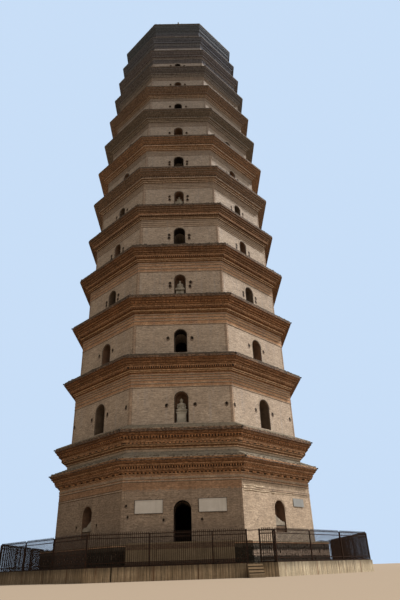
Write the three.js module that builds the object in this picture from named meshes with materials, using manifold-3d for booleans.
import * as THREE from 'three';
import { mergeVertices } from 'three/addons/utils/BufferGeometryUtils.js';
import Module from 'manifold-3d';

// A 1:10 scale model of a thirteen-storey octagonal brick pagoda on a low fenced terrace.
// Sizes are given in metres of the full-size tower. METRE turns one of them into model millimetres.
// The front faces -Y, +Z is up, and the origin is on the tower's axis at ground level.

const METRE = 100;
const SIDES = 8;
const SIDE_TURN = Math.PI * 2 / SIDES;
const CORNER_STRETCH = 1 / Math.cos( SIDE_TURN / 2 );
const HALF_SIDE = Math.tan( SIDE_TURN / 2 );
const JOINT_GAP = 0.3;
const CUT_MARGIN = 0.3;
const WELD_DISTANCE = 1e-4;

// Storeys from the ground up. Apothems are measured from the axis to the middle of a side.
const WALL_APOTHEM = [ 11.32, 10.71, 10.48, 10.17, 9.87, 9.54, 9.23, 8.89, 8.59, 8.38, 8.14, 7.83, 7.60 ];
const EAVE_APOTHEM = [ 12.24, 11.89, 11.65, 11.39, 10.91, 10.72, 10.52, 10.09, 9.70, 9.25, 8.87, 8.46, 8.05 ];
const EAVE_EDGE_LEVEL = [
	8.42, 17.28, 23.49, 29.41, 35.04, 40.62, 45.80, 50.92, 55.73, 60.28, 64.31, 67.95, 71.71,
];
const EAVE_HEIGHT = [ 1.14, 1.26, 1.39, 1.29, 1.24, 1.34, 1.14, 1.06, 1.04, 1.10, 1.12, 1.17, 1.80 ];
const HEAD_HEIGHT = [ 3.01, 2.84, 2.44, 2.41, 2.56, 2.35, 2.34, 2.35, 2.04, 1.80, 1.55, 1.11, 0.92 ];
const MAIN_OPENING_WIDTH = [ 1.37, 1.12, 1.11, 1.04, 1.11, 0.95, 1.06, 0.99, 0.88, 0.81, 0.69, 0.65, 0.60 ];
const DIAGONAL_OPENING_WIDTH = [ 1.40, 1.36, 1.25, 1.15, 0.98, 0.93, 0.90, 0.88, 0.86, 0.81, 0.69, 0.65, 0.60 ];
const STOREYS = WALL_APOTHEM.length;

const BASE_WALL_THICKNESS = 3.2;
const TOP_WALL_THICKNESS = 2.0;
const SILL_HEIGHT = 0.15;
const NICHE_DEPTH = 0.9;
const GROUND_NICHE_SILL = 0.70;
const GROUND_NICHE_HEAD = 3.13;
const ARCH_STEPS = 6;
const ROOF_SLOPE = 0.45;

// The ground storey carries a second eave over a short plain band.
const BAND_APOTHEM = 10.90;
const UPPER_EAVE_APOTHEM = 12.06;
const UPPER_EAVE_LEVEL = 10.78;
const UPPER_EAVE_HEIGHT = 1.42;

// Each eave steps outwards in seven brick bands: share of its height, share of its reach.
const EAVE_BANDS = [
	[ 0.11, 0.12 ], [ 0.22, 0.24 ], [ 0.49, 0.45 ], [ 0.57, 0.56 ], [ 0.70, 0.70 ], [ 0.84, 0.86 ], [ 1, 1 ],
];

// Terrace, plinth and landing
const TERRACE_WALL_APOTHEM = 15.45;
const TERRACE_WALL_THICKNESS = 0.32;
const TERRACE_WALL_LEVEL = 0.85;
const TERRACE_FLOOR_LEVEL = 0.78;
const PLINTH_APOTHEM = 12.30;
const PLINTH_SLAB_OVERHANG = 0.08;
const PLINTH_SLAB_THICKNESS = 0.16;
const PLINTH_LEVEL = 2.33;
const LANDING_LEFT = - 3.98;
const LANDING_RIGHT = 3.72;
const LANDING_DEPTH = 1.22;

// Steps up to the gate
const STEP_COUNT = 4;
const STEP_RISE = 0.185;
const STEP_GOING = 0.30;
const STEPS_LEFT = 4.34;
const STEPS_RIGHT = 5.34;

// Iron fence and gate
const FENCE_APOTHEM = 15.30;
const FENCE_POST = 0.09;
const FENCE_POST_TOP = 2.86;
const RAIL_LEVELS = [ 1.12, 2.60, 2.82 ];
const RAIL_DEPTH = 0.035;
const RAIL_HEIGHT = 0.05;
const FENCE_BAYS = 3;
const FENCE_CORNER_CLEARANCE = 0.075;
const GATE_POST_LEFT = 4.42;
const GATE_POST_RIGHT = 5.32;
const GATE_POST = 0.11;
const GATE_POST_TOP = 2.90;
const GATE_PIVOT_CLEARANCE = 0.06;
const GATE_STILE = 0.05;
const PIVOT_SEGMENTS = 12;
const GATE_BOTTOM = 1.00;
const GATE_TOP = 2.82;
const GATE_LUG_HEIGHT = 0.04;
const GATE_LENGTH = 0.84;
const GATE_RAIL_LEVELS = [ 1.04, 1.90, 2.58, 2.78 ];
const GATE_OPEN_ANGLE = THREE.MathUtils.degToRad( 170 );

// Stone tablets beside the door and a plate on the face to its right
const TABLET_SIZE = [ 2.20, 1.00 ];
const TABLET_THICKNESS = 0.10;
const TABLET_RIM = 0.09;
const TABLET_RIM_HEIGHT = 0.03;
const TABLET_LEVEL = 4.92;
const TABLET_OFFSETS = { tablet_left: - 2.59, tablet_right: 2.35 };
const PLATE_SIZE = [ 1.52, 0.65 ];
const PLATE_THICKNESS = 0.05;
const PLATE_OFFSET = 2.76;
const PLATE_LEVEL = 5.41;

// Roof and finial
const ROOF_BASE_APOTHEM = 7.75;
const ROOF_RISE = 5.1;
const ROOF_TOP_APOTHEM = 1.0;
const ROOF_STEPS = 4;
const ROOF_CURVE = 1.2;
const FINIAL_TIP_LEVEL = 85.1;
const FINIAL_SEGMENTS = 12;
const FINIAL_CURVE_STEPS = 5;
const FINIAL_SEAT = { radius: 0.95, top: 0.35 };
const FINIAL_COLLAR = { radius: 0.60, top: 0.55 };
const FINIAL_STEM = { radius: 0.45, top: 1.10 };
const FINIAL_BULBS = [ { bulge: 1.40, waist: 0.42, top: 3.70 }, { bulge: 0.95, waist: 0.25, top: 5.60 } ];
const FINIAL_SPIKE = { radius: 0.14, top: 6.20 };
const BULB_FULLNESS = 0.2;

const wasm = await Module();
wasm.setup();

// Turns a closed three.js geometry into a solid that can be cut and joined.
function toSolid( geometry ) {

	const plain = geometry.clone();
	plain.deleteAttribute( 'normal' );
	plain.deleteAttribute( 'uv' );
	const merged = mergeVertices( plain, WELD_DISTANCE );
	return new wasm.Manifold( new wasm.Mesh( {
		numProp: 3,
		vertProperties: new Float32Array( merged.attributes.position.array ),
		triVerts: new Uint32Array( merged.index.array ),
	} ) );

}

function toGeometry( solid ) {

	const mesh = solid.getMesh();
	const geometry = new THREE.BufferGeometry();
	geometry.setAttribute( 'position', new THREE.BufferAttribute( mesh.vertProperties, mesh.numProp ) );
	geometry.setIndex( new THREE.BufferAttribute( mesh.triVerts, 1 ) );
	geometry.computeVertexNormals();
	return geometry;

}

function join( geometries ) {

	return toGeometry( geometries.map( toSolid ).reduce( ( whole, piece ) => whole.add( piece ) ) );

}

function cut( body, tools ) {

	return toGeometry( tools.map( toSolid ).reduce( ( whole, tool ) => whole.subtract( tool ), toSolid( body ) ) );

}

// A box from its two corners, given in metres.
function box( x0, x1, y0, y1, z0, z1 ) {

	const geometry = new THREE.BoxGeometry( ( x1 - x0 ) * METRE, ( y1 - y0 ) * METRE, ( z1 - z0 ) * METRE );
	geometry.translate( ( x0 + x1 ) / 2 * METRE, ( y0 + y1 ) / 2 * METRE, ( z0 + z1 ) / 2 * METRE );
	return geometry;

}

// The corners of an octagon whose front side faces -Y.
function octagon( apothem ) {

	const points = [];
	for ( let corner = 0; corner < SIDES; corner ++ ) {

		const angle = ( corner + 0.5 ) * SIDE_TURN;
		const radius = apothem * CORNER_STRETCH * METRE;
		points.push( new THREE.Vector2( radius * Math.cos( angle ), radius * Math.sin( angle ) ) );

	}

	return points;

}

// An upright octagonal prism, hollow when an inner apothem is given.
function octagonalPrism( apothem, bottom, top, innerApothem = 0 ) {

	const shape = new THREE.Shape( octagon( apothem ) );
	if ( innerApothem > 0 ) shape.holes.push( new THREE.Path( octagon( innerApothem ) ) );
	const geometry = new THREE.ExtrudeGeometry( shape, { depth: ( top - bottom ) * METRE, bevelEnabled: false } );
	geometry.translate( 0, 0, bottom * METRE );
	return geometry;

}

// An octagonal body from a profile of [apothem, level] pairs, bottom first.
function octagonalLathe( profile ) {

	const points = profile.map( ( [ apothem, level ] ) => {

		return new THREE.Vector2( apothem * CORNER_STRETCH * METRE, level * METRE );

	} );
	const geometry = new THREE.LatheGeometry( points, SIDES, SIDE_TURN / 2 );
	geometry.rotateX( Math.PI / 2 );
	return geometry;

}

// A round-headed prism that runs outwards through side number `side`, from `inner` to `outer`.
function archPrism( side, width, bottom, head, inner, outer ) {

	const radius = width / 2 * METRE;
	const spring = ( head - bottom ) * METRE - radius;
	const shape = new THREE.Shape();
	shape.moveTo( - radius, 0 );
	shape.lineTo( radius, 0 );
	shape.lineTo( radius, spring );
	shape.absarc( 0, spring, radius, 0, Math.PI, false );
	shape.lineTo( - radius, 0 );
	const geometry = new THREE.ExtrudeGeometry( shape, {
		depth: ( outer - inner ) * METRE,
		bevelEnabled: false,
		curveSegments: ARCH_STEPS,
	} );
	geometry.rotateX( Math.PI / 2 );
	geometry.translate( 0, - inner * METRE, bottom * METRE );
	geometry.rotateZ( side * SIDE_TURN );
	return geometry;

}

function wallThickness( storey ) {

	return THREE.MathUtils.lerp( BASE_WALL_THICKNESS, TOP_WALL_THICKNESS, storey / ( STOREYS - 1 ) );

}

function roomApothem( storey ) {

	return WALL_APOTHEM[ storey ] - wallThickness( storey );

}

function eaveUnderside( storey ) {

	return EAVE_EDGE_LEVEL[ storey ] - EAVE_HEIGHT[ storey ];

}

// The floor of a storey lies where the tiled slope of the eave below meets its wall.
function floorLevel( storey ) {

	if ( storey === 0 ) return PLINTH_LEVEL;
	if ( storey === 1 ) return UPPER_EAVE_LEVEL + ROOF_SLOPE * ( UPPER_EAVE_APOTHEM - WALL_APOTHEM[ 1 ] );
	const below = storey - 1;
	return EAVE_EDGE_LEVEL[ below ] + ROOF_SLOPE * ( EAVE_APOTHEM[ below ] - WALL_APOTHEM[ storey ] );

}

// The stepped brick bands of an eave, from the wall out to its edge.
function eaveSteps( wall, edge, underside, edgeLevel ) {

	const profile = [];
	let level = underside;
	for ( const [ heightShare, reachShare ] of EAVE_BANDS ) {

		const reach = THREE.MathUtils.lerp( wall, edge, reachShare );
		const top = THREE.MathUtils.lerp( underside, edgeLevel, heightShare );
		profile.push( [ reach, level ], [ reach, top ] );
		level = top;

	}

	return profile;

}

const materials = {
	brick: new THREE.MeshStandardMaterial( { color: 0xa58a72, roughness: 0.95, metalness: 0 } ),
	eave: new THREE.MeshStandardMaterial( { color: 0x7d5f4b, roughness: 0.95, metalness: 0 } ),
	rubble: new THREE.MeshStandardMaterial( { color: 0x4c4640, roughness: 1, metalness: 0 } ),
	concrete: new THREE.MeshStandardMaterial( { color: 0xa39a8c, roughness: 0.9, metalness: 0 } ),
	iron: new THREE.MeshStandardMaterial( { color: 0x3b2c25, roughness: 0.7, metalness: 0.5 } ),
	stone: new THREE.MeshStandardMaterial( { color: 0xd9d6cf, roughness: 0.6, metalness: 0 } ),
	plate: new THREE.MeshStandardMaterial( { color: 0x8d9aa3, roughness: 0.5, metalness: 0 } ),
	bronze: new THREE.MeshStandardMaterial( { color: 0x5d5a50, roughness: 0.5, metalness: 0.8 } ),
};

const pagoda = new THREE.Group();

function addPiece( name, geometry, material ) {

	const mesh = new THREE.Mesh( geometry, materials[ material ].clone() );
	mesh.name = name;
	pagoda.add( mesh );
	return mesh;

}

function twoDigits( number ) {

	return String( number ).padStart( 2, '0' );

}

// Terrace
function buildTerrace() {

	const inner = TERRACE_WALL_APOTHEM - TERRACE_WALL_THICKNESS;
	const wall = octagonalPrism( TERRACE_WALL_APOTHEM, 0, TERRACE_WALL_LEVEL, inner );
	addPiece( 'terrace_retaining_wall', wall, 'concrete' );
	const fill = octagonalPrism( inner - JOINT_GAP / METRE, 0, TERRACE_FLOOR_LEVEL );
	addPiece( 'terrace_fill', fill, 'rubble' );

}

// Plinth with its slab, and the landing in front of the door with its top flush with the slab
function buildPlinth() {

	const slabBottom = PLINTH_LEVEL - PLINTH_SLAB_THICKNESS;
	addPiece( 'tower_plinth', octagonalPrism( PLINTH_APOTHEM, TERRACE_FLOOR_LEVEL, slabBottom ), 'rubble' );
	const slab = octagonalPrism( PLINTH_APOTHEM + PLINTH_SLAB_OVERHANG, slabBottom, PLINTH_LEVEL );
	addPiece( 'plinth_floor_slab', slab, 'concrete' );
	const back = - PLINTH_APOTHEM - PLINTH_SLAB_OVERHANG - JOINT_GAP / METRE;
	const front = back - LANDING_DEPTH;
	const landing = box( LANDING_LEFT, LANDING_RIGHT, front, back, TERRACE_FLOOR_LEVEL, PLINTH_LEVEL );
	addPiece( 'door_landing', landing, 'concrete' );

}

// Four steps in front of the gate, cut from one side view
function buildSteps() {

	const back = TERRACE_WALL_APOTHEM + JOINT_GAP / METRE;
	const profile = new THREE.Shape();
	profile.moveTo( back * METRE, 0 );
	for ( let step = 0; step < STEP_COUNT; step ++ ) {

		const front = back + ( STEP_COUNT - step ) * STEP_GOING;
		profile.lineTo( front * METRE, step * STEP_RISE * METRE );
		profile.lineTo( front * METRE, ( step + 1 ) * STEP_RISE * METRE );

	}

	profile.lineTo( back * METRE, STEP_COUNT * STEP_RISE * METRE );
	const geometry = new THREE.ExtrudeGeometry( profile, {
		depth: ( STEPS_RIGHT - STEPS_LEFT ) * METRE,
		bevelEnabled: false,
	} );
	geometry.rotateX( Math.PI / 2 );
	geometry.rotateZ( - Math.PI / 2 );
	geometry.translate( STEPS_RIGHT * METRE, 0, 0 );
	addPiece( 'entry_steps', geometry, 'concrete' );

}

function fencePost( x, size, top ) {

	const half = size / 2;
	return box( x - half, x + half, - FENCE_APOTHEM - half, - FENCE_APOTHEM + half, TERRACE_WALL_LEVEL, top );

}

function rail( x0, x1, level ) {

	const halfDepth = RAIL_DEPTH / 2;
	return box( x0, x1, - FENCE_APOTHEM - halfDepth, - FENCE_APOTHEM + halfDepth,
		level - RAIL_HEIGHT / 2, level + RAIL_HEIGHT / 2 );

}

// One run of fence along the front: posts and three rails, without its thin pickets.
function fenceRun( posts, railStart, railEnd ) {

	const pieces = posts.map( ( x ) => fencePost( x, FENCE_POST, FENCE_POST_TOP ) );
	for ( const level of RAIL_LEVELS ) pieces.push( rail( railStart, railEnd, level ) );
	return join( pieces );

}

function buildFence() {

	const corner = FENCE_APOTHEM * HALF_SIDE;
	const bay = corner * 2 / FENCE_BAYS;
	const end = corner - FENCE_CORNER_CLEARANCE;
	const sideNames = [ 'front', 'right_front', 'right', 'right_back', 'back', 'left_back', 'left', 'left_front' ];
	for ( let side = 1; side < SIDES; side ++ ) {

		const run = fenceRun( [ - corner, - corner + bay, corner - bay ], - corner, end );
		run.rotateZ( side * SIDE_TURN );
		addPiece( `fence_${ sideNames[ side ] }`, run, 'iron' );

	}

	const gateLeft = GATE_POST_LEFT - GATE_POST / 2 - JOINT_GAP / METRE;
	const gateRight = GATE_POST_RIGHT + GATE_POST / 2 + JOINT_GAP / METRE;
	const left = fenceRun( [ - corner, - corner + bay, corner - bay ], - corner, gateLeft );
	addPiece( 'fence_front_left', left, 'iron' );
	const lastPost = end - FENCE_POST / 2;
	addPiece( 'fence_front_right', fenceRun( [ lastPost ], gateRight, lastPost ), 'iron' );

}

// Two thick posts, the rail that runs on over the gateway, and the lugs that hold the leaf's pivot.
function buildGateFrame() {

	const pivotY = gatePivotY();
	const halfLug = GATE_STILE / 2;
	const postFront = - FENCE_APOTHEM - GATE_POST / 2;
	const lugX0 = GATE_POST_RIGHT - halfLug;
	const lugX1 = GATE_POST_RIGHT + halfLug;
	const pivotGap = JOINT_GAP / METRE;
	const lugs = [ GATE_BOTTOM - pivotGap - GATE_LUG_HEIGHT, GATE_TOP + pivotGap ].map( ( level ) => {

		return box( lugX0, lugX1, pivotY - halfLug, postFront + halfLug, level, level + GATE_LUG_HEIGHT );

	} );
	addPiece( 'gate_frame', join( [
		fencePost( GATE_POST_LEFT, GATE_POST, GATE_POST_TOP ),
		fencePost( GATE_POST_RIGHT, GATE_POST, GATE_POST_TOP ),
		rail( GATE_POST_LEFT, GATE_POST_RIGHT, RAIL_LEVELS[ 2 ] ),
		...lugs,
	] ), 'iron' );

}

function gatePivotY() {

	return - FENCE_APOTHEM - GATE_POST / 2 - GATE_PIVOT_CLEARANCE - GATE_STILE / 2;

}

// The leaf is drawn shut, running to the left of its pivot, and its group is turned open about that pivot.
function buildGateLeaf() {

	const halfStile = GATE_STILE / 2;
	const halfRail = RAIL_DEPTH / 2;
	const radius = halfStile * METRE;
	const height = ( GATE_TOP - GATE_BOTTOM ) * METRE;
	const pivotStile = new THREE.CylinderGeometry( radius, radius, height, PIVOT_SEGMENTS );
	pivotStile.rotateX( Math.PI / 2 );
	pivotStile.translate( 0, 0, ( GATE_TOP + GATE_BOTTOM ) / 2 * METRE );
	const rails = GATE_RAIL_LEVELS.map( ( level ) => {

		return box( - GATE_LENGTH + halfStile, 0, - halfRail, halfRail,
			level - RAIL_HEIGHT / 2, level + RAIL_HEIGHT / 2 );

	} );
	const freeStile = box( - GATE_LENGTH - halfStile, - GATE_LENGTH + halfStile, - halfStile, halfStile,
		GATE_BOTTOM, GATE_TOP );
	const leaf = addPiece( 'gate_leaf', join( [ pivotStile, ...rails, freeStile ] ), 'iron' );
	leaf.position.set( GATE_POST_RIGHT * METRE, gatePivotY() * METRE, 0 );
	leaf.rotation.z = GATE_OPEN_ANGLE;

}

// Storey walls. Openings and niches take turns: even sides are the front, right, back and left.
function openingOf( storey, side ) {

	const main = side % 2 === 0;
	const floor = floorLevel( storey );
	const width = main ? MAIN_OPENING_WIDTH[ storey ] : DIAGONAL_OPENING_WIDTH[ storey ];
	if ( storey === 0 ) {

		const isDoor = side === 0;
		return {
			width,
			bottom: isDoor ? floor : floor + GROUND_NICHE_SILL,
			head: floor + ( isDoor ? HEAD_HEIGHT[ 0 ] : GROUND_NICHE_HEAD ),
			through: isDoor,
		};

	}

	return {
		width,
		bottom: floor + SILL_HEIGHT,
		head: floor + HEAD_HEIGHT[ storey ],
		through: storey % 2 === 0 ? main : ! main,
	};

}

function buildWall( storey ) {

	const apothem = WALL_APOTHEM[ storey ];
	const room = roomApothem( storey );
	const tube = octagonalPrism( apothem, floorLevel( storey ), eaveUnderside( storey ), room );
	const tools = [];
	for ( let side = 0; side < SIDES; side ++ ) {

		const { width, bottom, head, through } = openingOf( storey, side );
		const inner = through ? room - CUT_MARGIN : apothem - NICHE_DEPTH;
		const start = storey === 0 && through ? bottom - CUT_MARGIN : bottom;
		tools.push( archPrism( side, width, start, head, inner, apothem + CUT_MARGIN ) );

	}

	addPiece( `storey_${ twoDigits( storey + 1 ) }_wall`, cut( tube, tools ), 'brick' );

}

// Eaves. Each one is filled with the vaulted floor of the storey above it, except the lower eave
// of the ground storey, which is a ring around the ground room.
function buildEaves() {

	const bandFoot = EAVE_EDGE_LEVEL[ 0 ] + ROOF_SLOPE * ( EAVE_APOTHEM[ 0 ] - BAND_APOTHEM );
	const groundRoom = roomApothem( 0 );
	const lower = eaveSteps( WALL_APOTHEM[ 0 ], EAVE_APOTHEM[ 0 ], eaveUnderside( 0 ), EAVE_EDGE_LEVEL[ 0 ] );
	const lowerProfile = [
		[ groundRoom, eaveUnderside( 0 ) ],
		...lower,
		[ BAND_APOTHEM, bandFoot ],
		[ groundRoom, bandFoot ],
		[ groundRoom, eaveUnderside( 0 ) ],
	];
	addPiece( 'eave_01_lower', octagonalLathe( lowerProfile ), 'eave' );

	const upperUnderside = UPPER_EAVE_LEVEL - UPPER_EAVE_HEIGHT;
	const upper = eaveSteps( BAND_APOTHEM, UPPER_EAVE_APOTHEM, upperUnderside, UPPER_EAVE_LEVEL );
	const upperFloor = floorLevel( 1 );
	const upperProfile = [
		[ 0, bandFoot ],
		[ BAND_APOTHEM, bandFoot ],
		[ BAND_APOTHEM, upperUnderside ],
		...upper,
		[ WALL_APOTHEM[ 1 ], upperFloor ],
		[ 0, upperFloor ],
	];
	addPiece( 'eave_01_upper', octagonalLathe( upperProfile ), 'eave' );

	for ( let storey = 1; storey < STOREYS; storey ++ ) {

		const isTop = storey === STOREYS - 1;
		const edgeLevel = EAVE_EDGE_LEVEL[ storey ];
		const underside = eaveUnderside( storey );
		const floor = isTop ? edgeLevel : floorLevel( storey + 1 );
		const steps = eaveSteps( WALL_APOTHEM[ storey ], EAVE_APOTHEM[ storey ], underside, edgeLevel );
		const top = isTop ? [] : [ [ WALL_APOTHEM[ storey + 1 ], floor ] ];
		const profile = [ [ 0, underside ], ...steps, ...top, [ 0, floor ] ];
		addPiece( `eave_${ twoDigits( storey + 1 ) }`, octagonalLathe( profile ), 'eave' );

	}

}

// Stone tablets with a raised rim, and a thin plate, each fixed flat on the wall.
function buildTablets() {

	const [ width, height ] = TABLET_SIZE;
	const back = - WALL_APOTHEM[ 0 ] - JOINT_GAP / METRE;
	const front = back - TABLET_THICKNESS;
	for ( const [ name, offset ] of Object.entries( TABLET_OFFSETS ) ) {

		const x0 = offset - width / 2;
		const x1 = offset + width / 2;
		const z0 = TABLET_LEVEL - height / 2;
		const z1 = TABLET_LEVEL + height / 2;
		const slab = box( x0, x1, front, back, z0, z1 );
		const field = box( x0 + TABLET_RIM, x1 - TABLET_RIM, front - TABLET_RIM_HEIGHT, front + TABLET_RIM_HEIGHT,
			z0 + TABLET_RIM, z1 - TABLET_RIM );
		addPiece( name, cut( slab, [ field ] ), 'stone' );

	}

	const [ plateWidth, plateHeight ] = PLATE_SIZE;
	const plate = box( PLATE_OFFSET - plateWidth / 2, PLATE_OFFSET + plateWidth / 2, back - PLATE_THICKNESS, back,
		PLATE_LEVEL - plateHeight / 2, PLATE_LEVEL + plateHeight / 2 );
	plate.rotateZ( SIDE_TURN );
	addPiece( 'wall_plate_right', plate, 'plate' );

}

// A low eight-sided roof that curves up to the seat of the finial
function buildRoof() {

	const base = EAVE_EDGE_LEVEL[ STOREYS - 1 ];
	const profile = [ [ 0, base ] ];
	for ( let step = 0; step <= ROOF_STEPS; step ++ ) {

		const share = step / ROOF_STEPS;
		const apothem = THREE.MathUtils.lerp( ROOF_BASE_APOTHEM, ROOF_TOP_APOTHEM, share );
		profile.push( [ apothem, base + ROOF_RISE * Math.pow( share, ROOF_CURVE ) ] );

	}

	profile.push( [ 0, base + ROOF_RISE ] );
	addPiece( 'tower_roof', octagonalLathe( profile ), 'eave' );

}

// A gourd-shaped finial on a moulded seat, drawn as heights and radii above the roof
function buildFinial() {

	const seat = EAVE_EDGE_LEVEL[ STOREYS - 1 ] + ROOF_RISE;
	const rise = FINIAL_TIP_LEVEL - seat;
	const outline = new THREE.Path();
	outline.moveTo( 0, 0 );
	outline.lineTo( FINIAL_SEAT.radius, 0 );
	outline.lineTo( FINIAL_SEAT.radius, FINIAL_SEAT.top );
	outline.lineTo( FINIAL_COLLAR.radius, FINIAL_COLLAR.top );
	outline.lineTo( FINIAL_STEM.radius, FINIAL_STEM.top );
	let foot = FINIAL_STEM.top;
	for ( const { bulge, waist, top } of FINIAL_BULBS ) {

		const shoulder = BULB_FULLNESS * ( top - foot );
		outline.bezierCurveTo( bulge, foot + shoulder, bulge, top - shoulder, waist, top );
		foot = top;

	}

	outline.lineTo( FINIAL_SPIKE.radius, FINIAL_SPIKE.top );
	outline.lineTo( 0, rise );
	const points = outline.getPoints( FINIAL_CURVE_STEPS ).map( ( point ) => point.multiplyScalar( METRE ) );
	const geometry = new THREE.LatheGeometry( points, FINIAL_SEGMENTS );
	geometry.rotateX( Math.PI / 2 );
	geometry.translate( 0, 0, seat * METRE );
	addPiece( 'roof_finial', geometry, 'bronze' );

}

buildTerrace();
buildSteps();
buildFence();
buildGateFrame();
buildGateLeaf();
buildPlinth();
for ( let storey = 0; storey < STOREYS; storey ++ ) buildWall( storey );
buildEaves();
buildTablets();
buildRoof();
buildFinial();

export default pagoda;
